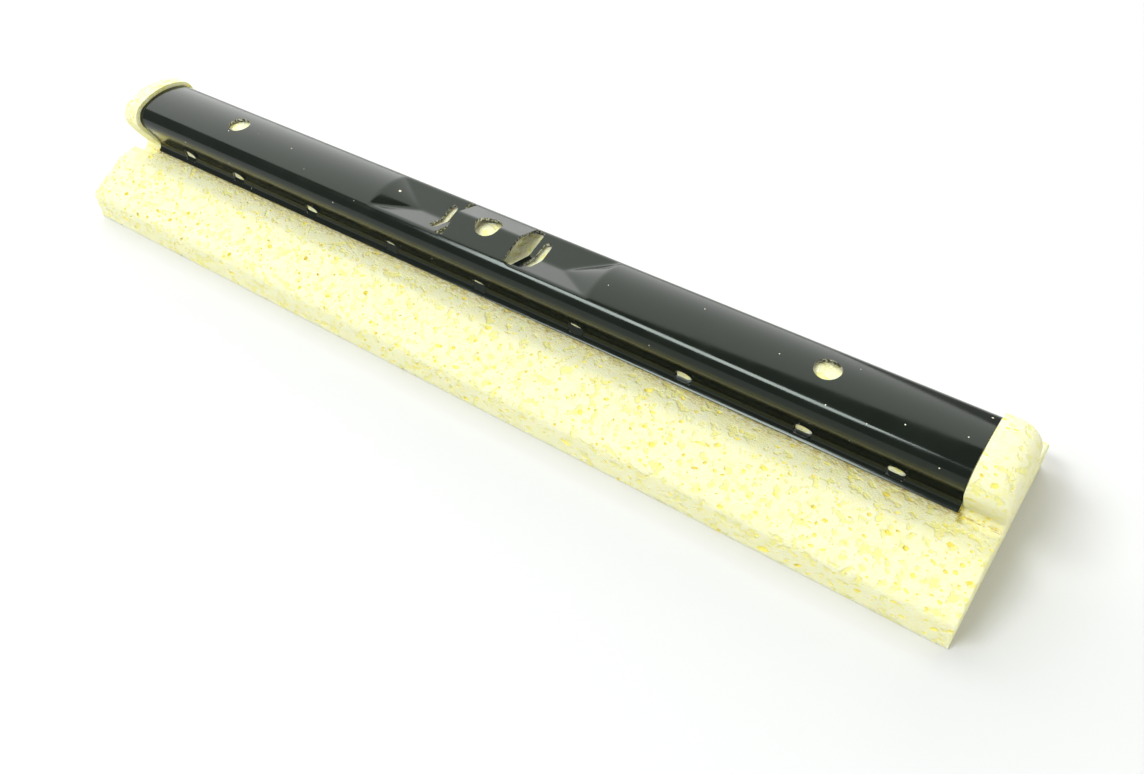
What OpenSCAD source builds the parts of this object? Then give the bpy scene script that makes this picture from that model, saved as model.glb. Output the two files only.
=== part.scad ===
// Refill head for a roller mop: a cellulose sponge held in a pressed steel channel.
// Lengths are millimetres. X runs along the head, Z is up, and the origin is the
// middle of the sponge's underside.

/* [Sponge] */
// Length of the sponge
sponge_l = 305; // [250:1:400]
// Width of the sponge's scrubbing block
sponge_w = 64; // [54:1:80]
// Height at which the block's front and back faces start to roll over
face_h = 7.5; // [4:0.5:9]
// Radius of that roll
roll_r = 3.5; // [2:0.5:4.5]
// Slope of the shoulders
shoulder_slope = 26; // [20:1:32]
// Radius where the shoulders level out beside the channel
crest_r = 8; // [5:0.5:10]
// How far the loose lobe past each end of the channel swells beyond it
lobe_swell = 1.5; // [0.5:0.1:2.5]

/* [Channel] */
// How far the sponge stands past each end of the steel channel
overhang = 10.5; // [6:0.5:20]
// Outside width across the bends
channel_w = 22.2; // [20:0.1:28]
// Height from the lips to the crown
channel_h = 18.5; // [17:0.1:24]
// How far each flange pinches in below its bend
pinch = 4; // [3:0.1:5]
// Thickness of the sheet
sheet_t = 0.9; // [0.6:0.1:1.2]
// Height of the crown above the ground
crown_z = 35.5; // [32:0.5:42]
// Radius of the gentle crown across the top
crown_r = 22; // [18:1:40]
// Outside radius of the two top bends
bend_r = 4.8; // [3.5:0.1:6]
// Radius of the hollow along each flange
waist_r = 3; // [2.5:0.1:5]
// Angle at which the lips flare out
flare = 58; // [35:1:62]

/* [Fixing holes] */
// Diameter of the two fixing holes
fixing_d = 7; // [5:0.1:9]
// Distance between the two fixing holes
fixing_spacing = 206; // [160:1:230]

/* [Flange teeth] */
// Diameter of each pierced tooth
tooth_d = 5.2; // [4:0.1:6]
// Distance between teeth along the middle of a flange
tooth_pitch = 34; // [26:1:37]
// Least distance from the last of those to the end tooth
tooth_end_pitch = 24; // [16:1:28]
// Distance from the end tooth to the end of the channel
tooth_inset = 16; // [12:1:24]
// Height of a tooth's centre above the lip
tooth_z = 2.5; // [2.4:0.1:4]
// How far the three middle teeth are bent inwards
tooth_lean_middle = 24; // [10:1:40]
// How far the other teeth are bent inwards
tooth_lean = 58; // [30:1:62]

// How far below the sheet's face the sponge stops that swells out into each tooth's hole
swell_inset = 0.3; // [0:0.1:0.9]

/* [Pull bridge] */
// Length of the raised bridge along the head
bridge_l = 21.6; // [18:0.1:28]
// Height of the bridge's ridge above the crown
bridge_rise = 1.5; // [0.5:0.1:3]
// Diameter of the hole in the bridge
bridge_hole_d = 8; // [5:0.1:9]
// Length of the sponge that swells up under the bridge
swell_l = 16; // [12:0.5:18]
// Gap between the bridge and the strap beside it
window_l = 3; // [2:0.1:4]
// Width of the strap between the gap and the slot
strap_l = 1.8; // [1.5:0.1:4]
// Width of each cross slot
slot_l = 2.6; // [2:0.1:4]
// Length of each cross slot across the head
slot_w = 11.4; // [8:0.1:12]
// Depth of the pressed valleys below the bends
valley_d = 2.4; // [1:0.1:4]
// Length of each valley's floor past its slot
valley_run = 7.5; // [4:0.5:12]
// Length of the ramp from the valley's floor up to the plate
ramp_l = 13; // [8:0.5:20]

/* [Hidden] */
$fn = 96;

clearance = 0.3;          // kept between sponge and steel
press_lap = 0.4;          // pressed sheet runs this far into the bends
tooth_play = 0.1;         // a tooth is this much smaller all round than its hole
tooth_root = 0.5;         // depth of a tooth's root below its hinge
hinge_drop = 0.3;         // hinge below a tooth's centre, as a share of its diameter
groove_r = 2.4;           // open groove under each loose lobe
arc_steps = 10;           // facets in each arc of the section
channel_l = sponge_l - 2 * overhang;
waist_w = channel_w - 2 * pinch;

// Centres of the section's arcs, as [y, z]
crown_c = [0, crown_z - crown_r];
crown_a = asin((channel_w / 2 - bend_r) / (crown_r - bend_r));
bend_c = crown_c + (crown_r - bend_r) * [sin(crown_a), cos(crown_a)];
lip_z = crown_z - channel_h;
waist_c = [waist_w / 2 + waist_r, lip_z + waist_r * sin(flare)];

// Lean of the straight flange that is tangent to the bend and to the hollow
span = waist_c - bend_c;
lean = asin((bend_r + waist_r) / norm(span)) - atan2(span[1], span[0]) - 90;

// Where the crown ends and the bends begin
edge_y = crown_r * sin(crown_a);
edge_z = crown_c[1] + crown_r * cos(crown_a);

// Centres of the sponge's roll and crest arcs, joined by the sloping shoulder
crest_z = lip_z - 0.1;
roll_c = [sponge_w / 2 - roll_r, face_h];
crest_rise = crest_z - crest_r - face_h + (crest_r - roll_r) * cos(shoulder_slope);
crest_c = [
    roll_c[0] - (crest_r - roll_r) * sin(shoulder_slope) - crest_rise / tan(shoulder_slope),
    crest_z - crest_r
];

// A tooth's hinge, on the middle of the sheet
hinge_z = lip_z + tooth_z - tooth_d * hinge_drop;
hinge_y = waist_c[0] - sqrt(pow(waist_r + sheet_t / 2, 2) - pow(hinge_z - waist_c[1], 2));

// Stations along X, from the middle outwards
bridge_x = bridge_l / 2;
strap_x = bridge_x + window_l;
slot_x = strap_x + strap_l + slot_l / 2;
valley_x = slot_x + slot_l / 2 + valley_run;
ramp_x = valley_x + ramp_l;
fixing_x = fixing_spacing / 2;
end_tooth_x = channel_l / 2 - tooth_inset;
tooth_pairs = floor((end_tooth_x - tooth_end_pitch) / tooth_pitch);
tooth_xs = [-end_tooth_x, for (i = [-tooth_pairs:tooth_pairs]) i * tooth_pitch, end_tooth_x];

// Heights in the middle of the plate
floor_z = edge_z - valley_d;
ridge_z = crown_z + bridge_rise;
cutter_h = 2 * (crown_z - floor_z + 2 * sheet_t);

function polar(c, r, a) = c + r * [cos(a), sin(a)];
function arc(c, r, from, to) = [for (i = [0:arc_steps]) polar(c, r, from + (to - from) * i / arc_steps)];
function reversed(pts) = [for (i = [len(pts) - 1:-1:0]) pts[i]];
function both_sides(pts) = concat(pts, [for (p = reversed(pts)) [-p[0], p[1]]]);
function crown_at(y) = crown_c[1] + sqrt(crown_r * crown_r - y * y);
function tooth_lean_at(x) = abs(x) <= tooth_pitch ? tooth_lean_middle : tooth_lean;

// The sheet's face from the crown to the lip, a distance inside its outer face
function sheet_face(inset) = concat(
    arc(crown_c, crown_r - inset, 90, 90 - crown_a),
    arc(bend_c, bend_r - inset, 90 - crown_a, -lean),
    arc(waist_c, waist_r + inset, 180 - lean, 180 + flare)
);

// Stands a [y, z] drawing up and extrudes it along X, centred on x
module along_x(length, x = 0) {
    translate([x, 0, 0]) rotate([90, 0, 90]) linear_extrude(length, center = true) children();
}

module folded_sheet() {
    for (side = [0, 1]) mirror([0, side, 0])
        along_x(channel_l) polygon(concat(sheet_face(0), reversed(sheet_face(sheet_t))));
}

// A sheet of even vertical thickness under a set of top faces; rim runs round them
module pressed_sheet(pts, tops, rim) {
    n = len(pts);
    m = len(rim);
    polyhedron(
        points = concat(pts, [for (p = pts) p - [0, 0, sheet_t]]),
        faces = concat(
            tops,
            [for (f = tops) [for (v = reversed(f)) v + n]],
            [for (i = [0:m - 1]) [rim[(i + 1) % m], rim[i], rim[i] + n, rim[(i + 1) % m] + n]]
        )
    );
}

// The valley beside the bridge, and the ramp that brings it back up to the plate
module valley() {
    y = edge_y + press_lap;
    last = 4 + arc_steps;
    pts = concat(
        [[strap_x, y, edge_z], [strap_x, 0, floor_z], [strap_x, -y, edge_z], [valley_x, 0, floor_z]],
        [for (i = [0:arc_steps]) let (v = y - 2 * y * i / arc_steps) [ramp_x, v, crown_at(v)]]
    );
    tops = concat([[0, 4, 3, 1], [1, 3, last, 2]], [for (i = [4:last - 1]) [i, i + 1, 3]]);
    rim = concat([1, 0], [for (i = [4:last]) i], [2]);
    pressed_sheet(pts, tops, rim);
}

// The raised bridge between the two windows
module bridge() {
    y = edge_y + press_lap;
    along_x(bridge_l) polygon([
        [-y, edge_z], [0, ridge_z], [y, edge_z],
        [y, edge_z - sheet_t], [0, ridge_z - sheet_t], [-y, edge_z - sheet_t]
    ]);
}

// The plate removed where the middle is pressed out of shape
module pressed_area() {
    translate([0, 0, crown_z]) cube([2 * ramp_x, 2 * edge_y, 2 * bend_r], center = true);
}

// Cutters through the plate
module plate_hole(x, d, y = 0) {
    translate([x, y, crown_z]) cylinder(d = d, h = cutter_h, center = true);
}

module cross_slot() {
    reach = (slot_w - slot_l) / 2;
    for (s = [-1, 1]) plate_hole(slot_x, slot_l, s * reach);
    translate([slot_x, 0, crown_z]) cube([slot_l, 2 * reach, cutter_h], center = true);
}

// A round tooth standing on its hinge, grown all round and through its thickness
module tooth_blank(root, grow, t) {
    top = 2 * tooth_d;
    intersection() {
        translate([0, 0, tooth_d * hinge_drop]) rotate([90, 0, 0])
            cylinder(d = tooth_d + 2 * grow, h = t, center = true);
        translate([0, 0, top / 2 - root]) cube([top, 2 * t, top], center = true);
    }
}

// Puts its children at every hinge along the +Y flange, and at every hinge opposite
module at_hinges(bent) {
    for (side = [0, 1], x = tooth_xs) mirror([0, side, 0])
        translate([x, hinge_y, hinge_z]) rotate([bent ? tooth_lean_at(x) : 0, 0, 0]) children();
}

module spine_channel() {
    color("black") {
        difference() {
            union() {
                difference() {
                    folded_sheet();
                    pressed_area();
                }
                for (side = [0, 1]) mirror([side, 0, 0]) valley();
                bridge();
            }
            for (side = [0, 1]) mirror([side, 0, 0]) cross_slot();
            plate_hole(0, bridge_hole_d);
            for (s = [-1, 1]) plate_hole(s * fixing_x, fixing_d);
            at_hinges(false) tooth_blank(0, 0, 6 * sheet_t);
        }
        at_hinges(true) tooth_blank(tooth_root, -tooth_play, sheet_t);
    }
}

// The scrubbing block: upright faces, rolled edges, sloping shoulders and a level crest
module block_section() {
    polygon(both_sides(concat(
        arc(crest_c, crest_r, 90, 90 - shoulder_slope),
        arc(roll_c, roll_r, 90 - shoulder_slope, 0),
        [[sponge_w / 2, 0]]
    )));
}

// The lobe where the steel grips it, a distance inside the sheet's outer face
module gripped_section(inset) {
    polygon(both_sides(concat(sheet_face(inset), [[waist_w / 4, crest_z - crest_r / 2]])));
}

// The lobe past the ends of the steel
module loose_section() {
    polygon(both_sides(concat(
        arc(crown_c, crown_r + lobe_swell, 90, 90 - crown_a),
        arc(bend_c, bend_r + lobe_swell, 90 - crown_a, -lean),
        [[waist_w / 2 - sheet_t, crest_z - groove_r / 2], [waist_w / 4, crest_z - crest_r / 2]]
    )));
}

// Room that the sponge leaves round each lip, and the groove that stays open past the ends
module lip_room() {
    tip = asin(clearance / waist_r);
    near = waist_r - clearance;
    far = waist_r + sheet_t + clearance;
    for (side = [0, 1]) mirror([side, 0]) polygon(concat(
        arc(waist_c, near, 180 - lean, 180 + flare),
        [polar(waist_c, near, 180 + flare + tip), polar(waist_c, far, 180 + flare + tip)],
        arc(waist_c, far, 180 + flare, 180 - lean)
    ));
}

module open_groove() {
    for (s = [-1, 1]) translate([s * (waist_w / 2 - sheet_t + groove_r), crest_z]) circle(groove_r);
}

// Room under each pressed valley, in the same V as the valley
module press_room() {
    inner = swell_l / 2;
    outer = ramp_x + clearance;
    gap = sheet_t + clearance;
    y = edge_y + press_lap;
    top = crown_z + gap;
    edge = crown_at(y) - gap;
    for (s = [-1, 1]) along_x(outer - inner, s * (inner + outer) / 2)
        polygon([[0, floor_z - gap], [y, edge], [y, top], [-y, top], [-y, edge]]);
}

module sponge() {
    gripped_l = channel_l + 2 * clearance;
    loose_l = (sponge_l - gripped_l) / 2;
    loose_x = (sponge_l - loose_l) / 2;
    color("khaki") difference() {
        union() {
            difference() {
                along_x(sponge_l) block_section();
                along_x(gripped_l) lip_room();
            }
            along_x(gripped_l) gripped_section(sheet_t + clearance);
            intersection() {
                along_x(channel_l) gripped_section(swell_inset);
                at_hinges(false) tooth_blank(-clearance, -clearance, 6 * sheet_t);
            }
            for (s = [-1, 1]) along_x(loose_l, s * loose_x) loose_section();
        }
        for (s = [-1, 1]) along_x(loose_l, s * loose_x) open_groove();
        press_room();
        at_hinges(true) tooth_blank(tooth_root + clearance, clearance, sheet_t + 2 * clearance);
    }
}

spine_channel();
sponge();
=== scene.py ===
import math
import random

import bmesh
import bpy
import numpy as np
from mathutils import Euler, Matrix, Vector, noise


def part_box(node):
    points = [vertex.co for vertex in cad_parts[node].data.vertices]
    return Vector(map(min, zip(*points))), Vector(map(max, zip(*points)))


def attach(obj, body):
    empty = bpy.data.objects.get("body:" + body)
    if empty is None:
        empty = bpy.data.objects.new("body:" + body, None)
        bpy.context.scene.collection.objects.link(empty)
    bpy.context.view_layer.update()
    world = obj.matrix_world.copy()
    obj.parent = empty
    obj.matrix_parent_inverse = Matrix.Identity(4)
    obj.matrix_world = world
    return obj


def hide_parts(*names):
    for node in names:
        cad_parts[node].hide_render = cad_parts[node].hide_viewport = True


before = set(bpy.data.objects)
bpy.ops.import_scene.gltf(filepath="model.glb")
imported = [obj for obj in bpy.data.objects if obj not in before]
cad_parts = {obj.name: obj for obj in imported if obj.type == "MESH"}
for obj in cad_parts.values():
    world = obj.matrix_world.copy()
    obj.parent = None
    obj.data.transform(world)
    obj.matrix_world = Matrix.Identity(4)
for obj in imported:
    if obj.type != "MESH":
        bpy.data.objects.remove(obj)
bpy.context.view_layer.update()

# Sizes are millimetres until a mesh is made. X runs along the head and Z is up.
MM = 0.001
SEED = 12
rng = random.Random(SEED)


def far_corner(node):
    """The +X, +Y, +Z corner of a CAD node's box, in millimetres."""
    _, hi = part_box(node)
    return np.array(hi) / MM


def from_upright(degrees):
    """The direction, as (y, z), that leans that far from straight up."""
    return np.array([math.sin(math.radians(degrees)), math.cos(math.radians(degrees))])


channel_far = far_corner("spine_channel")
sponge_far = far_corner("sponge")

# ---------------------------------------------------------------- channel's section
SHEET_T = 0.9
CHANNEL_H = 18.5
PINCH = 4.0            # flange's step inwards, from the bend to the waist
CROWN_R = 22.0
BEND_R = 4.8
WAIST_R = 3.0
FLARE = 58.0
CLEARANCE = 0.3        # between sponge and steel

# The lip that shows is flat: it leaves the hollow before the full flare
LIP_START = 37.0       # flare at which it leaves
LIP_TURN = 38.0        # degrees below the level at which it runs out
LIP_L = 1.04
LIP_ROUND = 0.12       # depth of its rounded edge

# Steps in the outline of the sheet, which the sponge follows too
CROWN_STEPS = 18
BEND_STEPS = 22
FLANGE_STEPS = 4
HOLLOW_STEPS = 16
LIP_STEPS = 6

BRIDGE_RISE = 1.5
half_l = channel_far[0]
waist_y = channel_far[1] - PINCH
crown_z = channel_far[2] - BRIDGE_RISE
lip_z = crown_z - CHANNEL_H
crown_c = np.array([0.0, crown_z - CROWN_R])
crown_a = math.degrees(math.asin((channel_far[1] - BEND_R) / (CROWN_R - BEND_R)))
crown_turn = from_upright(crown_a)
bend_c = crown_c + (CROWN_R - BEND_R) * crown_turn
waist_c = np.array([waist_y + WAIST_R, lip_z + WAIST_R * math.sin(math.radians(FLARE))])
span = waist_c - bend_c
tangent = math.asin((BEND_R + WAIST_R) / np.hypot(*span)) - math.atan2(span[1], span[0])
lean = math.degrees(tangent) - 90
edge_y, edge_z = crown_c + CROWN_R * crown_turn

# ---------------------------------------------------------------- channel's pressed middle
# Places along X, outwards from the centre
BRIDGE_X = 10.8
STRAP_X = 13.8
SLOT_X = 16.9
VALLEY_X = 25.7
RAMP_X = 38.7
FIXING_X = 103.0

SLOT_L = 2.6
SLOT_W = 11.4
VALLEY_D = 2.4
PRESS_LAP = 0.4        # how far the pressing runs into the bends
CREASE_R = 0.55
CREASE_SAMPLES = 5
BRIDGE_HOLE_D = 8.0
FIXING_D = 7.0
HOLE_STEPS = 48
BRIDGE_HOLE_STEPS = 56
SLOT_STEPS = 12
window_x = (BRIDGE_X + STRAP_X) / 2
window_l = STRAP_X - BRIDGE_X
floor_z = edge_z - VALLEY_D
press_y = edge_y + PRESS_LAP
pressed_above = edge_z - 2 * BEND_R / 3  # the sheet moves only above this height

# Rings along the channel, close together over the pressed middle
FINE_X = 41.0
FINE_STEP = 0.45
PLAIN_STATIONS = 34
SHARP = 32             # edges that turn by more degrees than this stay sharp

# ---------------------------------------------------------------- teeth
TOOTH_D = 5.2
TOOTH_Z = 2.5
TOOTH_XS = [0, 34, 68, 102, 126]
TOOTH_LEAN_MIDDLE = 24.0
TOOTH_LEAN = 58.0
TOOTH_PLAY = 0.1       # a tooth is this much smaller all round than its hole
TOOTH_ROOT = 0.5
TOOTH_STEPS = 28
HINGE_SHARE = 0.3      # hinge below a tooth's centre, as a share of its diameter
RIM_W = 0.18
RIM_SEGMENTS = 3
hinge_drop = HINGE_SHARE * TOOTH_D
hinge_z = lip_z + TOOTH_Z - hinge_drop
hinge_y = waist_c[0] - math.sqrt((WAIST_R + SHEET_T / 2) ** 2 - (hinge_z - waist_c[1]) ** 2)

# ---------------------------------------------------------------- sponge
FACE_H = 7.5
ROLL_R = 3.5
CREST_R = 8.0
CREST_DROP = 0.1       # crest below the lips
SLOPE = 26.0
FOOT_R = 0.5
GROOVE_R = 2.4
GROOVE_ARC = (180, 350)

# Under the pressed middle
VALLEY_SLOPE = 0.93    # steepness of the sponge's room, as a share of the valley's
BRIDGE_SWELL_X = 8.0   # end of the swell under the bridge
BRIDGE_SWELL_RUN = 5.0

# In the holes of the teeth: rings of the swell, each a share of the hole and its depth below the top
SWELL_INSET = 0.3
SWELL_DOME = ((1, 0.6), (0.97, 0.3), (0.88, 0.12), (0.7, 0.03), (0.35, 0))

# The loose lobe past each end of the steel
LOBE_SWELL = 1.5
FALL_START = 0.3       # share of the lobe's length at which it starts to fall away
END_FALL = 6.0
END_NARROWING = 0.24
NARROWING_RISE = 1.6   # how fast the narrowing grows with height, from none at the crest
STATION_STEP = 1.1
LOBE_GAP = 0.02        # from the last gripped ring to the lobe's first
LOBE_EVEN = 0.82       # share of the lobe's length with even rings, before the close ones at its end
LOBE_EVEN_STATIONS = 10
LOBE_END_STATIONS = [0.88, 0.93, 0.97, 1.0]

# Wear of the skin
WEAR = ((0.16, 9.0), (0.10, 2.3))  # depth and size of its lumps
HIDDEN_WEAR = 0.05     # under the steel
HIDDEN_RISE = 0.4      # above the crest, where that begins
UNWORN_H = 2.0         # the wear fades out from this height to the ground
END_ROUND = 0.5
END_RUN = 0.8
SPONGE_SHARP = 40

# Pores
SKIN_PORES = 9000      # tries, since a pore without room is left out
END_PORES = 900        # tries at each end
PORE_R = 0.38
PORE_SPREAD = 0.5
PORE_CELL = 4.0        # pitch of the cells in which neighbours are looked up
PORE_MAX_R = PORE_CELL / 3.4       # two of these, stretched by 1.7, are one cell long
PORE_DEPTH = (-0.35, 0.25)         # depth of a pore's centre, in its radii
PORE_GAP = 0.06
PORE_TILT = 0.5
PORE_WIDTHS = (0.65, 1)
PORE_HEIGHTS = (0.8, 1.0)
PORE_LUMPS = 0.22
PORE_LUMP_FINENESS = 1.3
PORE_FILL = 0.82       # keeps the lumpiest pore within its reach
PORE_STRETCH = 1.1
FACE_STRETCH = 0.6     # more stretch below the roll
COVERED_X = 0.5        # the steel hides the skin to this far past the gripped length
COVERED_Z = 0.3        # and from this far above the crest, so no pore is cut there
UNDERSIDE_Z = 0.4
UNDERSIDE_SHARE = 0.5  # share of the pores left out below that height
END_MARGIN = 0.9

half_w = sponge_far[1]
end_x = sponge_far[0]
grip_x = half_l + CLEARANCE
crest_z = lip_z - CREST_DROP
slope_turn = from_upright(SLOPE)
roll_c = np.array([half_w - ROLL_R, FACE_H])
crest_rise = crest_z - CREST_R - FACE_H + (CREST_R - ROLL_R) * slope_turn[1]
crest_c = np.array([
    roll_c[0] - (CREST_R - ROLL_R) * slope_turn[0] - crest_rise * slope_turn[1] / slope_turn[0],
    crest_z - CREST_R,
])

# Torn fibres beside the lips, coloured darker ochre: partly their own colour, partly painted shade in the
# crevice under each lip
FUZZ_SHADE_REACH = (11.8, 16.2)  # they thin out between these distances from the middle
FUZZ_SHADE_RAGGED = 7.0          # and the noise that frays them brings that this much nearer
FUZZ_SHADE_DROP = 0.6            # middle of their band, below the crest
FUZZ_SHADE_HALF_H = 1.6
FUZZ_SHADE_INSET = 1.0

# ---------------------------------------------------------------- colours, camera and lights
COAT_DEEP = (0.004, 0.006, 0.004, 1)
COAT_PALE = (0.008, 0.011, 0.008, 1)
COAT_TINT = (0.90, 1.0, 0.89, 1)
DUST = (0.85, 0.82, 0.62, 1)
CUT_DARK = (0.02, 0.022, 0.02, 1)
CUT_BARE = (0.62, 0.62, 0.60, 1)
SKIN_PALE = (1.0, 0.975, 0.62, 1)
# Deeper skin colour: random mottling, and painted shade in the bumped pits
SKIN_DEEP = (1.0, 0.935, 0.36, 1)
# Pores: deeper colours that are painted shade inside them
PORE_SHADE_PALE = (1.0, 0.90, 0.27, 1)
PORE_SHADE_DEEP = (1.0, 0.84, 0.18, 1)
# Darker ochre for the torn fibres, partly painted shade beside the lips
FUZZ_AND_SHADE = (0.66, 0.52, 0.16, 1)
FLOOR = (0.69, 0.695, 0.685, 1)
FLOOR_HALF = 3000.0
SKY = (1.0, 1.0, 0.99, 1)
SKY_STRENGTH = 0.31

# Metres, degrees and millimetres of focal length
CAMERA_AT = (0.1600, -0.1726, 0.2105)
CAMERA_TURN = (44.19, 2.44, 35.33)
CAMERA_LENS = 32.5
CAMERA_NEAR = 0.01

# Name, place and size in metres, watts and colour; each is aimed at the origin
LIGHTS = (
    ("key_softbox", (-0.82, -1.33, 1.95), (1.3, 0.62), 44, (0.93, 0.96, 1.0)),
    ("rear_panel", (-1.1, 1.1, 1.2), (3.2, 2.8), 62, (1.0, 1.0, 0.985)),
    ("side_fill", (1.9, -0.5, 0.9), (1.5, 1.5), 16, (1.0, 1.0, 0.98)),
)


# ---------------------------------------------------------------- outline helpers
SQUARE = np.array([[-1, -1], [1, -1], [1, 1], [-1, 1]])  # from its centre, half a side being 1


def polar(c, r, a):
    a = np.radians(a)
    return np.array(c) + r * np.stack([np.cos(a), np.sin(a)], -1)


def arc(c, r, start, stop, steps):
    return polar(c, r, np.linspace(start, stop, steps + 1))


def circle(d, steps):
    return arc((0, 0), d / 2, 0, 360, steps)[:-1]


def line(a, b, steps, ends=False):
    """Points between a and b, with a and b themselves only if ends."""
    t = np.linspace(0, 1, steps + 1)[:, None]
    pts = np.array(a) * (1 - t) + np.array(b) * t
    return pts if ends else pts[1:-1]


def eased(t):
    t = np.clip(t, 0, 1)
    return t * t * (3 - 2 * t)


def at_station(x, outline):
    """A (y, z) outline stood up at x."""
    return np.column_stack([np.full(len(outline), x), outline])


def crown_and_bend(growth):
    """The sheet's face from the crown to the foot of the bend, a distance outside its outer face."""
    crown = arc(crown_c, CROWN_R + growth, 90, 90 - crown_a, CROWN_STEPS)[:-1]
    return np.concatenate([crown, arc(bend_c, BEND_R + growth, 90 - crown_a, -lean, BEND_STEPS)])


def sheet_face(inset, flare=FLARE):
    """The sheet's face from the crown to the lip, a distance inside its outer face."""
    top = crown_and_bend(-inset)
    waist = arc(waist_c, WAIST_R + inset, 180 - lean, 180 + flare, HOLLOW_STEPS)
    return np.concatenate([top, line(top[-1], waist[0], FLANGE_STEPS), waist])


def plate_at(y):
    """Height of the plain plate and its bends."""
    y = np.abs(y)
    bend = bend_c[1] + np.sqrt(np.maximum(BEND_R**2 - np.maximum(y - bend_c[0], 0) ** 2, 0))
    return np.where(y < edge_y, crown_c[1] + np.sqrt(np.maximum(CROWN_R**2 - y * y, 0)), bend)


def pressing(x, y):
    """How far the pressing moves the plate up or down, with sharp creases."""
    x, v = np.abs(x), np.minimum(np.abs(y) / press_y, 1)
    plain = plate_at(np.minimum(np.abs(y), press_y))
    roof = edge_z + (crown_z + BRIDGE_RISE - edge_z) * (1 - v)
    valley = floor_z + (edge_z - floor_z) * v
    up = np.clip((x - VALLEY_X) / (RAMP_X - VALLEY_X), 1e-4, 1)
    spread = np.abs(y) / up
    ramped = floor_z + up * (plate_at(np.minimum(spread, press_y)) - floor_z)
    sunk = np.where((x > VALLEY_X) & (spread < press_y), ramped, valley)
    top = np.where(x < window_x, roof, sunk)
    return np.where((v < 1) & (x < RAMP_X), top - plain, 0)


def soft_pressing(x, y):
    """The same with its creases rounded, as the mean over a small square."""
    steps = np.linspace(-CREASE_R, CREASE_R, CREASE_SAMPLES)
    return sum(pressing(x + a, y + b) for a in steps for b in steps) / CREASE_SAMPLES**2


# ---------------------------------------------------------------- mesh helpers
def mesh_object(name, verts, faces, materials, slots=None):
    """A smooth-shaded object; slots give each face its material."""
    mesh = bpy.data.meshes.new(name)
    mesh.from_pydata((np.array(verts) * MM).tolist(), [], faces)
    for m in materials:
        mesh.materials.append(m)
    if slots is not None:
        mesh.polygons.foreach_set("material_index", slots)
    mesh.polygons.foreach_set("use_smooth", [True] * len(mesh.polygons))
    mesh.validate()
    obj = bpy.data.objects.new(name, mesh)
    bpy.context.scene.collection.objects.link(obj)
    return obj


def loft(rings):
    """Faces of a closed tube through rings of as many points each, then of its two ends."""
    count, around = len(rings), len(rings[0])
    faces = []
    for i in range(count - 1):
        for j in range(around):
            a, b = i * around + j, i * around + (j + 1) % around
            faces.append((a, b, b + around, a + around))
    faces.append(tuple(range(around))[::-1])
    faces.append(tuple((count - 1) * around + j for j in range(around)))
    return faces


class Solids:
    """Closed shapes gathered into one mesh."""

    def __init__(self):
        self.verts, self.faces = [], []

    def add(self, verts, faces):
        base = len(self.verts)
        self.verts.extend(np.array(verts).tolist())
        self.faces.extend(tuple(base + i for i in f) for f in faces)

    def prism(self, outline, lo, hi, place):
        """outline, as (u, v), swept along w from lo to hi; place turns u, v, w into X, Y, Z."""
        self.stack([[place(u, v, w) for u, v in outline] for w in (lo, hi)])

    def stack(self, rings):
        """A closed convex solid through rings of as many points each."""
        faces = loft(rings)
        solid = np.concatenate(rings)
        middle = solid.mean(0)
        a, b, c = (solid[i] for i in faces[0][:3])
        if np.dot(np.cross(b - a, c - a), a - middle) < 0:
            faces = [f[::-1] for f in faces]
        self.add(solid, faces)


def cut(obj, solids, materials, slot, operation="DIFFERENCE"):
    """Takes solids off obj, or joins them on. The faces that they make get one material slot."""
    tool = mesh_object("cutter", solids.verts, solids.faces, materials, [slot] * len(solids.faces))
    step = obj.modifiers.new("cut", "BOOLEAN")
    step.operation, step.solver, step.object = operation, "MANIFOLD", tool
    graph = bpy.context.evaluated_depsgraph_get()
    mesh = bpy.data.meshes.new_from_object(obj.evaluated_get(graph), depsgraph=graph)
    obj.modifiers.clear()
    old, obj.data = obj.data, mesh
    mesh.name = obj.name
    bpy.data.meshes.remove(old)
    bpy.data.objects.remove(tool)


def sharpen(obj, angle):
    obj.data.set_sharp_from_angle(angle=math.radians(angle))


# ---------------------------------------------------------------- material helpers
def new_material(name):
    m = bpy.data.materials.new(name)
    m.use_nodes = True
    return m, m.node_tree, m.node_tree.nodes["Principled BSDF"]


def feed(tree, node, inputs):
    """Sets a node's inputs, by name or number, to plain values or to other nodes' sockets."""
    for key, value in inputs.items():
        if isinstance(value, bpy.types.NodeSocket):
            tree.links.new(value, node.inputs[key])
        else:
            node.inputs[key].default_value = value


def add(tree, kind, inputs=None, **settings):
    node = tree.nodes.new(kind)
    for key, value in settings.items():
        setattr(node, key, value)
    feed(tree, node, inputs or {})
    return node


def millimetres(tree, stretch=(1, 1, 1)):
    """The object's own coordinates in millimetres."""
    where = add(tree, "ShaderNodeTexCoord").outputs["Object"]
    scale = [s / MM for s in stretch]
    return add(tree, "ShaderNodeMapping", {"Vector": where, "Scale": scale}).outputs["Vector"]


def noise_at(tree, where, size, detail=3.0, roughness=0.5):
    """Noise whose lumps are about size millimetres."""
    inputs = {"Vector": where, "Scale": 1 / size, "Detail": detail, "Roughness": roughness}
    return add(tree, "ShaderNodeTexNoise", inputs).outputs["Fac"]


def ramp(tree, value, low, high, to_low=0.0, to_high=1.0):
    inputs = {"Value": value, 1: low, 2: high, 3: to_low, 4: to_high}
    return add(tree, "ShaderNodeMapRange", inputs, interpolation_type="SMOOTHSTEP").outputs["Result"]


def math_node(tree, operation, a, b=0.0, c=0.0):
    return add(tree, "ShaderNodeMath", {0: a, 1: b, 2: c}, operation=operation).outputs[0]


def product(tree, value, *factors):
    for factor in factors:
        value = math_node(tree, "MULTIPLY", value, factor)
    return value


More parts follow.
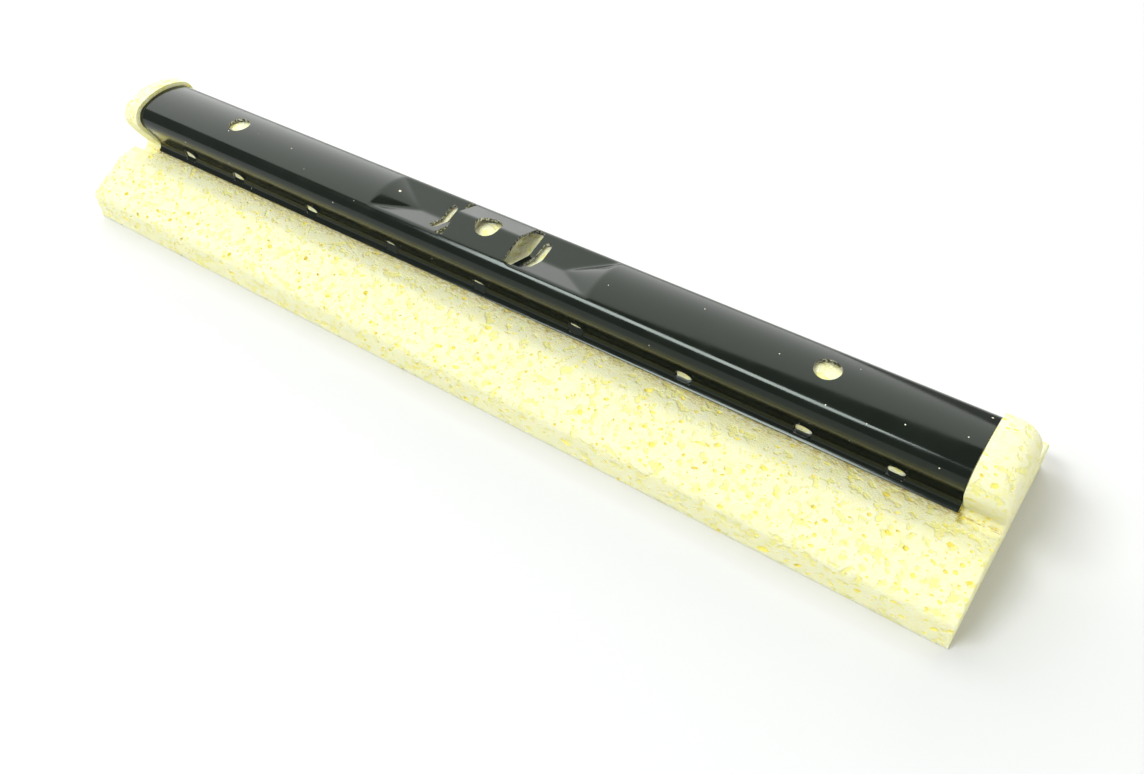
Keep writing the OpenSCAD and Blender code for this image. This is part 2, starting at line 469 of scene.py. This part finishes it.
def blend(tree, amount, a, b):
    """A colour between a and b. A Mix node repeats its inputs' names, so they go by number."""
    return add(tree, "ShaderNodeMix", {0: amount, 6: a, 7: b}, data_type="RGBA").outputs[2]


def bump(tree, height, strength, depth):
    inputs = {"Height": height, "Strength": strength, "Distance": depth * MM}
    return add(tree, "ShaderNodeBump", inputs).outputs["Normal"]


def specks(tree, where, pitch, size, share):
    """1 on scattered specks: cells of one pitch, a share of which hold a speck of one size."""
    cells = add(tree, "ShaderNodeTexVoronoi", {"Vector": where, "Scale": 1 / pitch})
    red = add(tree, "ShaderNodeSeparateColor", {"Color": cells.outputs["Color"]}).outputs["Red"]
    near = math_node(tree, "LESS_THAN", cells.outputs["Distance"], size / pitch)
    return product(tree, near, math_node(tree, "LESS_THAN", red, share))


# ---------------------------------------------------------------- materials
def enamel():
    """Glossy enamel with a little orange peel, dust and crumbs of sponge."""
    m, tree, shader = new_material("black_enamel")
    where = millimetres(tree)
    dust = specks(tree, where, pitch=2.6, size=0.17, share=0.16)
    crumbs = specks(tree, where, pitch=7.0, size=0.40, share=0.12)
    mark = math_node(tree, "MAXIMUM", dust, crumbs)
    haze = noise_at(tree, where, size=9.0, detail=4.0)
    coat = blend(tree, haze, COAT_DEEP, COAT_PALE)
    gloss = ramp(tree, haze, low=0.3, high=0.75, to_low=0.10, to_high=0.17)
    peel = noise_at(tree, where, size=3.5, detail=1.0)
    height = math_node(tree, "ADD", peel, product(tree, mark, 4.0))
    feed(tree, shader, {
        "Base Color": blend(tree, mark, coat, DUST),
        "Specular IOR Level": 0.33,
        "Specular Tint": COAT_TINT,
        "Roughness": math_node(tree, "MAXIMUM", gloss, product(tree, mark, 0.7)),
        "Normal": bump(tree, height, strength=0.25, depth=0.02),
    })
    return m


def bare_steel():
    """Cut edges: dark with specks of bare metal."""
    m, tree, shader = new_material("bare_cut_steel")
    bare = ramp(tree, noise_at(tree, millimetres(tree), size=0.7), low=0.45, high=0.62)
    feed(tree, shader, {
        "Base Color": blend(tree, bare, CUT_DARK, CUT_BARE),
        "Metallic": bare,
        "Roughness": ramp(tree, bare, low=0.0, high=1.0, to_low=0.18, to_high=0.38),
    })
    return m


def lip_fuzz_and_shade(tree, where):
    """Torn fibres beside both lips of the channel, coloured darker: partly their own colour, partly
    painted shade under the lips.
    """
    part = add(tree, "ShaderNodeSeparateXYZ", {"Vector": where})
    off = math_node(tree, "ABSOLUTE", part.outputs["Y"])
    ragged = product(tree, noise_at(tree, where, size=2.2, detail=4.0, roughness=0.7), FUZZ_SHADE_RAGGED)
    outer = ramp(tree, math_node(tree, "ADD", off, ragged), *FUZZ_SHADE_REACH, to_low=1.0, to_high=0.0)
    inner = ramp(tree, off, waist_y - FUZZ_SHADE_INSET, waist_y)
    level = math_node(tree, "COMPARE", part.outputs["Z"], crest_z - FUZZ_SHADE_DROP, FUZZ_SHADE_HALF_H)
    drawn = millimetres(tree, stretch=(0.35, 1.6, 1))
    strands = noise_at(tree, drawn, size=0.6, detail=4.0, roughness=0.7)
    return product(tree, outer, inner, level, ramp(tree, strands, low=0.42, high=0.60))


def cellulose(name, pale, deep, grain):
    """Sponge: its pale skin, or the copy for inside its pores, whose deeper colour is painted shade."""
    m, tree, shader = new_material(name)
    where = millimetres(tree)
    fine = noise_at(tree, where, size=0.45, detail=4.0, roughness=0.65)
    patch = noise_at(tree, where, size=3.2)
    # Pits: dips sunk by the bump and coloured deeper there, which is painted shade
    pit_shade = ramp(tree, noise_at(tree, where, size=2.2, detail=2.0), low=0.52, high=0.66)
    mottling = math_node(tree, "ADD", fine, product(tree, patch, 0.7))
    mottled = ramp(tree, mottling, low=0.76, high=1.14, to_high=0.7)
    tone_and_pit_shade = math_node(tree, "MAXIMUM", mottled, pit_shade)
    height = math_node(tree, "SUBTRACT", fine, pit_shade)
    feed(tree, shader, {
        # Darker ochre beside the lips: torn fibres and painted shade
        "Base Color": blend(tree, lip_fuzz_and_shade(tree, where), blend(tree, tone_and_pit_shade, pale, deep), FUZZ_AND_SHADE),
        "Roughness": 0.9,
        "Specular IOR Level": 0.15,
        "Subsurface Weight": 0.5,
        "Subsurface Radius": (1.0, 0.85, 0.35),
        "Subsurface Scale": 1.4 * MM,
        "Normal": bump(tree, height, strength=grain, depth=0.9),
    })
    return m


# ---------------------------------------------------------------- steel channel
def channel_stations():
    fine = np.arange(-FINE_X, FINE_X + 0.01, FINE_STEP)
    plain = np.linspace(FINE_X, half_l, PLAIN_STATIONS)[1:]
    return np.concatenate([-plain[::-1], fine, plain])


def channel_ring():
    """Outline of the sheet with rounded lips, as (y, z), from the crown down the outer face at +Y."""
    out, down = polar((0, 0), 1, 90 - LIP_TURN), polar((0, 0), 1, -LIP_TURN)
    outer, inner = sheet_face(0, LIP_START), sheet_face(SHEET_T, LIP_START)
    rim = outer[-1] + down * (LIP_L - LIP_ROUND)
    turn = np.radians(np.linspace(90, -90, LIP_STEPS + 1))[:, None]
    lip = rim + out * SHEET_T / 2 * (np.sin(turn) - 1) + down * LIP_ROUND * np.cos(turn)
    half = np.concatenate([outer, lip, inner[::-1]])
    left = half[1:-1] * [-1, 1]
    return np.concatenate([half, left[::-1]])


def tooth_outline(grow, root):
    """A round tooth above its root line, as (along the flange, above the hinge)."""
    r = TOOTH_D / 2 + grow
    start = math.degrees(math.asin((-root - hinge_drop) / r))
    return arc((0, hinge_drop), r, start, 180 - start, TOOTH_STEPS)


def tooth_lean_at(x):
    return TOOTH_LEAN_MIDDLE if abs(x) <= TOOTH_XS[1] else TOOTH_LEAN


def at_hinges(bent):
    """A placing function for each hinge of both flanges, leaning as its tooth does if bent."""
    for side in (1, -1):
        for x in sorted({s * x for x in TOOTH_XS for s in (-1, 1)}):
            angle = math.radians(tooth_lean_at(x) if bent else 0)
            c, s = math.cos(angle), math.sin(angle)

            def place(u, v, w, x=x, side=side, c=c, s=s):
                return (x + u, side * (hinge_y + w * c - v * s), hinge_z + v * c + w * s)

            yield place


def channel_cutters():
    """Windows, slots, fixing holes, the bridge's hole and the holes of the teeth."""
    tool = Solids()
    low, high = floor_z - 3 * SHEET_T, crown_z + 3 * SHEET_T
    reach = (SLOT_W - SLOT_L) / 2
    stadium = np.concatenate([
        arc((0, reach), SLOT_L / 2, 0, 180, SLOT_STEPS),
        arc((0, -reach), SLOT_L / 2, 180, 360, SLOT_STEPS),
    ])

    def through(outline, x):
        tool.prism(outline, low, high, lambda u, v, w: (x + u, v, w))

    for s in (-1, 1):
        through(SQUARE * [window_l / 2, edge_y], s * window_x)
        through(stadium, s * SLOT_X)
        through(circle(FIXING_D, HOLE_STEPS), s * FIXING_X)
    through(circle(BRIDGE_HOLE_D, BRIDGE_HOLE_STEPS), 0)
    for place in at_hinges(False):
        tool.prism(tooth_outline(0, 0), -2 * SHEET_T, 2 * SHEET_T, place)
    return tool


def build_channel(materials):
    """The channel, with its first material all over and its second on the cut edges."""
    ring = channel_ring()
    rings = []
    for x in channel_stations():
        lift = np.where(ring[:, 1] > pressed_above, soft_pressing(x, ring[:, 0]), 0)
        rings.append(at_station(x, np.stack([ring[:, 0], ring[:, 1] + lift], 1)))
    faces = [f[::-1] for f in loft(rings)]
    slots = [0] * (len(faces) - 2) + [1, 1]
    body = mesh_object("channel_shell", np.concatenate(rings), faces, materials, slots)
    cut(body, channel_cutters(), materials, 1)
    sharpen(body, SHARP)
    return body


def build_teeth(paint):
    solid = Solids()
    for place in at_hinges(True):
        solid.prism(tooth_outline(-TOOTH_PLAY, TOOTH_ROOT), -SHEET_T / 2, SHEET_T / 2, place)
    teeth = mesh_object("flange_teeth", solid.verts, solid.faces, [paint])
    bevel = teeth.modifiers.new("rounded_rims", "BEVEL")
    bevel.width, bevel.segments, bevel.limit_method = RIM_W * MM, RIM_SEGMENTS, "ANGLE"
    bevel.harden_normals = True
    return teeth


# ---------------------------------------------------------------- sponge
def gripped_half():
    """The lobe inside the steel, and the point beside the lip where the block begins."""
    tip = math.degrees(math.asin(CLEARANCE / WAIST_R))
    depth = (waist_c[1] - crest_z) / math.sin(math.radians(FLARE + tip))
    return sheet_face(SHEET_T + CLEARANCE, FLARE + tip), polar(waist_c, depth, 180 + FLARE + tip)


def loose_half():
    """The lobe past the steel with its open groove, and the groove's edge where the block begins."""
    top = crown_and_bend(LOBE_SWELL)
    groove_c = np.array([waist_y - SHEET_T + GROOVE_R, crest_z])
    groove = arc(groove_c, GROOVE_R, *GROOVE_ARC, HOLLOW_STEPS)
    flank = line(top[-1], groove[0], FLANGE_STEPS)
    return np.concatenate([top, flank, groove]), groove_c + [GROOVE_R, 0]


def block_half(start):
    """From the edge beside the lip over the shoulder and the roll to the middle of the underside."""
    crest = arc(crest_c, CREST_R, 90, 90 - SLOPE, 5)
    roll = arc(roll_c, ROLL_R, 90 - SLOPE, 0, 7)
    foot = arc((half_w - FOOT_R, FOOT_R), FOOT_R, 0, -90, 3)
    return np.concatenate([
        line(start, crest[0], 7, ends=True)[:-1], crest, line(crest[-1], roll[0], 13), roll,
        line(roll[-1], foot[0], 6), foot, line(foot[-1], (0, 0), 22),
    ])


def sponge_ring(x):
    """Outline of the sponge at one station, as (y, z) from the crown round +Y and back."""
    if abs(x) <= grip_x:
        top, start = gripped_half()
    else:
        top, start = loose_half()
        past = (abs(x) - grip_x) / (end_x - grip_x)
        over = np.clip((past - FALL_START) / (1 - FALL_START), 0, 1)
        fall = 1 - math.sqrt(1 - over**2)
        height = np.clip((top[:, 1] - crest_z) / (crown_z - crest_z), 0, 1)
        top[:, 1] -= height * fall * END_FALL
        top[:, 0] *= 1 - END_NARROWING * fall * eased(NARROWING_RISE * height)
    half = np.concatenate([top, block_half(start)])
    left = half[1:] * [-1, 1]
    return np.concatenate([half, [[0, 0]], left[::-1]])


def groove_corners():
    """The outer edges of both open grooves, where the block begins."""
    return [[side * (waist_y - SHEET_T + 2 * GROOVE_R), crest_z] for side in (-1, 1)]


def ring_normals(ring):
    """Outward directions at the points of a ring."""
    step = np.roll(ring, -1, 0) - np.roll(ring, 1, 0)
    normal = np.stack([-step[:, 1], step[:, 0]], 1)
    return normal / np.maximum(np.hypot(*normal.T), 1e-9)[:, None]


def worn(x, y, z):
    """How far the sponge's skin lies below its true section, always inwards."""
    p = Vector((x, y, z))
    return sum(depth * (1 + noise.noise(p / size)) for depth, size in WEAR)


def ring_wear(x, ring):
    """How far each point of a ring moves inwards: less near the ground and the grooves, and inside
    the steel."""
    edge = max(abs(x) - end_x + END_RUN, 0) / END_RUN
    inset = END_ROUND * (1 - math.sqrt(max(1 - edge**2, 0)))
    depth = np.array([worn(x, *p) for p in ring]) + inset
    depth *= np.clip(ring[:, 1] / UNWORN_H, 0, 1)
    for corner in groove_corners():
        depth = np.minimum(depth, np.hypot(*(ring - corner).T) / 2)
    hidden = (abs(x) <= grip_x) & (ring[:, 1] > crest_z + HIDDEN_RISE)
    return np.where(hidden, HIDDEN_WEAR, depth)


def valley_room(y):
    """Height that the sponge keeps to under the pressed valleys."""
    rise = plate_at(press_y - 1e-3) - floor_z
    return floor_z - SHEET_T - CLEARANCE + np.minimum(np.abs(y) / press_y, 1) * rise * VALLEY_SLOPE


def sponge_stations():
    inner = np.arange(-grip_x, grip_x, STATION_STEP)
    shares = np.concatenate([np.linspace(0, LOBE_EVEN, LOBE_EVEN_STATIONS), LOBE_END_STATIONS])
    lobe = grip_x + LOBE_GAP + shares * (end_x - grip_x - LOBE_GAP)
    return np.concatenate([-lobe[::-1], inner, [grip_x], lobe])


def sponge_surface():
    """Stations along X, with the points and the outward directions of the ring at each."""
    xs = sponge_stations()
    rings, normals = [], []
    for x in xs:
        ring = sponge_ring(x)
        normal = ring_normals(ring)
        ring = ring - normal * ring_wear(x, ring)[:, None]
        if abs(x) < RAMP_X + CLEARANCE:
            swell = eased((BRIDGE_SWELL_X - abs(x)) / BRIDGE_SWELL_RUN)
            ring[:, 1] = np.minimum(ring[:, 1], valley_room(ring[:, 0]) + swell * BEND_R)
        rings.append(at_station(x, ring))
        normals.append(at_station(0, normal))
    return xs, np.array(rings), np.array(normals)


def hole_swells():
    """Sponge that swells out into the holes of the teeth, a little below the sheet's face."""
    swells = Solids()
    face = sheet_face(0)[::-1]
    outline = tooth_outline(-CLEARANCE, -CLEARANCE)
    middle = np.array([0, outline[:, 1].mean()])
    for place in at_hinges(False):
        rings = [[place(u, v, -2 * SHEET_T) for u, v in outline]]
        for share, sunk in SWELL_DOME:
            ring = middle + (outline - middle) * share
            surface = np.interp(hinge_z + ring[:, 1], face[:, 1], face[:, 0])
            tops = surface - hinge_y - SWELL_INSET - sunk
            rings.append([place(u, v, w) for (u, v), w in zip(ring, tops)])
        swells.stack(rings)
    return swells


def tooth_pockets():
    """Room for each bent tooth."""
    pockets = Solids()
    reach = SHEET_T / 2 + CLEARANCE
    for place in at_hinges(True):
        pockets.prism(tooth_outline(CLEARANCE, TOOTH_ROOT + CLEARANCE), -reach, reach, place)
    return pockets


# ---------------------------------------------------------------- pores
def ball():
    """Corners and faces of a round pore of radius 1."""
    shape = bmesh.new()
    bmesh.ops.create_icosphere(shape, subdivisions=2, radius=1)
    verts = np.array([v.co for v in shape.verts])
    faces = [tuple(v.index for v in f.verts) for f in shape.faces]
    shape.free()
    return verts, faces


class Pores:
    """Pores that keep clear of each other, each pressed a little into the skin."""

    def __init__(self):
        self.solids = Solids()
        self.cells = {}
        self.verts, self.faces = ball()

    def free(self, at, reach):
        """Whether no pore lies near; if so, the place is taken."""
        key = tuple(int(math.floor(c / PORE_CELL)) for c in at)
        near = (-1, 0, 1)
        for cell in ((key[0] + i, key[1] + j, key[2] + k) for i in near for j in near for k in near):
            for other, other_reach in self.cells.get(cell, ()):
                if math.dist(at, other) < reach + other_reach + PORE_GAP:
                    return False
        self.cells.setdefault(key, []).append((tuple(at), reach))
        return True

    def add(self, at, normal, radius, stretch):
        """A pore at a point of the skin, longer along X by stretch."""
        at = np.array(at) - np.array(normal) * radius * rng.uniform(*PORE_DEPTH)
        if not self.free(at, radius * stretch):
            return
        turn = np.array(Euler([rng.uniform(-PORE_TILT, PORE_TILT) for _ in range(3)]).to_matrix())
        scale = np.array([stretch, rng.uniform(*PORE_WIDTHS), rng.uniform(*PORE_HEIGHTS)]) * radius
        spots = [Vector(v) * PORE_LUMP_FINENESS + Vector(at) for v in self.verts]
        lumps = np.array([1 + PORE_LUMPS * noise.noise(spot) for spot in spots])
        self.solids.add((self.verts * lumps[:, None] * PORE_FILL * scale) @ turn.T + at, self.faces)


def pore_radius():
    """Many small pores and a few large ones."""
    return min(PORE_R * math.exp(rng.gauss(0, PORE_SPREAD)), PORE_MAX_R)


def skin_pores(pores, xs, rings, normals):
    """Pores spread over the long sides, fewer underneath and none where steel covers the sponge."""
    around = rings.shape[1]
    steps = np.linalg.norm(np.roll(rings[0], -1, 0) - rings[0], axis=1)
    chances = steps / steps.sum()
    picks = np.random.default_rng(SEED).choice(around, size=SKIN_PORES, p=chances)
    for j in picks:
        i = rng.randrange(1, len(xs) - 2)
        share = rng.random()
        a, b = rings[i][j], rings[i][(j + 1) % around]
        at = a * (1 - share) + b * share
        at[0] = xs[i] + rng.random() * (xs[i + 1] - xs[i])
        covered = abs(at[0]) < grip_x + COVERED_X and at[2] > crest_z + COVERED_Z
        if covered or (at[2] < UNDERSIDE_Z and rng.random() < UNDERSIDE_SHARE):
            continue
        stretch = 1 + PORE_STRETCH * rng.random() ** 2 + (FACE_STRETCH if at[2] < FACE_H else 0)
        pores.add(at, normals[i][j], pore_radius(), stretch)


def end_pores(pores, rings):
    """Pores in both cut ends."""
    ring = rings[0][:, 1:]
    lo, hi = ring.min(0), ring.max(0)
    for side in (-1, 1):
        for _ in range(END_PORES):
            y, z = rng.uniform(lo[0], hi[0]), rng.uniform(lo[1], hi[1])
            if inside(ring, y, z):
                pores.add((side * end_x, y, z), (side, 0, 0), pore_radius(), 1.0)


def inside(ring, y, z):
    """Whether a point lies inside a ring and clear of its corners."""
    if np.hypot(ring[:, 0] - y, ring[:, 1] - z).min() < END_MARGIN:
        return False
    y0, z0 = ring.T
    y1, z1 = np.roll(ring, -1, 0).T
    crossing = (z0 > z) != (z1 > z)
    at = y0 + (z - z0) / np.where(z1 == z0, 1, z1 - z0) * (y1 - y0)
    return int(np.sum(crossing & (y < at))) % 2 == 1


def build_sponge(materials):
    """The sponge, with its first material on the skin and its second, the copy coloured deeper as painted
    shade, in the pores.
    """
    xs, rings, normals = sponge_surface()
    body = mesh_object("sponge_block", rings.reshape(-1, 3), loft(rings), materials)
    cut(body, hole_swells(), materials, 0, "UNION")
    cut(body, tooth_pockets(), materials, 0)
    pores = Pores()
    skin_pores(pores, xs, rings, normals)
    end_pores(pores, rings)
    cut(body, pores.solids, materials, 1)
    sharpen(body, SPONGE_SHARP)
    return body


# ---------------------------------------------------------------- stage
def build_stage():
    m, tree, shader = new_material("pale_floor")
    feed(tree, shader, {"Base Color": FLOOR, "Roughness": 0.8})
    corners = [(x, y, 0) for x, y in SQUARE * FLOOR_HALF]
    mesh_object("floor", corners, [(0, 1, 2, 3)], [m])
    world = bpy.data.worlds.new("studio")
    world.use_nodes = True
    sky = world.node_tree.nodes["Background"]
    feed(world.node_tree, sky, {"Color": SKY, "Strength": SKY_STRENGTH})
    bpy.context.scene.world = world


def soft_light(name, at, size, power, colour):
    data = bpy.data.lights.new(name, "AREA")
    data.shape, data.size, data.size_y = "RECTANGLE", size[0], size[1]
    data.energy, data.color = power, colour
    light = bpy.data.objects.new(name, data)
    light.location = at
    light.rotation_euler = (-Vector(at)).to_track_quat("-Z", "Y").to_euler()
    bpy.context.scene.collection.objects.link(light)


def build_camera():
    data = bpy.data.cameras.new("camera")
    data.lens = CAMERA_LENS
    data.clip_start = CAMERA_NEAR
    camera = bpy.data.objects.new("camera", data)
    camera.location = CAMERA_AT
    camera.rotation_euler = Euler([math.radians(a) for a in CAMERA_TURN])
    bpy.context.scene.collection.objects.link(camera)
    bpy.context.scene.camera = camera


# ---------------------------------------------------------------- scene
build_camera()
build_stage()
for light in LIGHTS:
    soft_light(*light)
bpy.context.scene.view_settings.view_transform = "Standard"

paint, bare = enamel(), bare_steel()
skin = cellulose("sponge_skin", SKIN_PALE, SKIN_DEEP, grain=0.6)
# the pores' copy is coloured deeper, as painted shade in the hollows
pore = cellulose("sponge_pore_shade", PORE_SHADE_PALE, PORE_SHADE_DEEP, grain=0.4)

shell = build_channel([paint, bare])
teeth = build_teeth(paint)
sponge = build_sponge([skin, pore])

for piece, slot in ((shell, "enamelled_steel"), (teeth, "enamelled_steel"), (sponge, "cellulose_sponge")):
    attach(piece, "root")
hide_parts("spine_channel")
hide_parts("sponge")
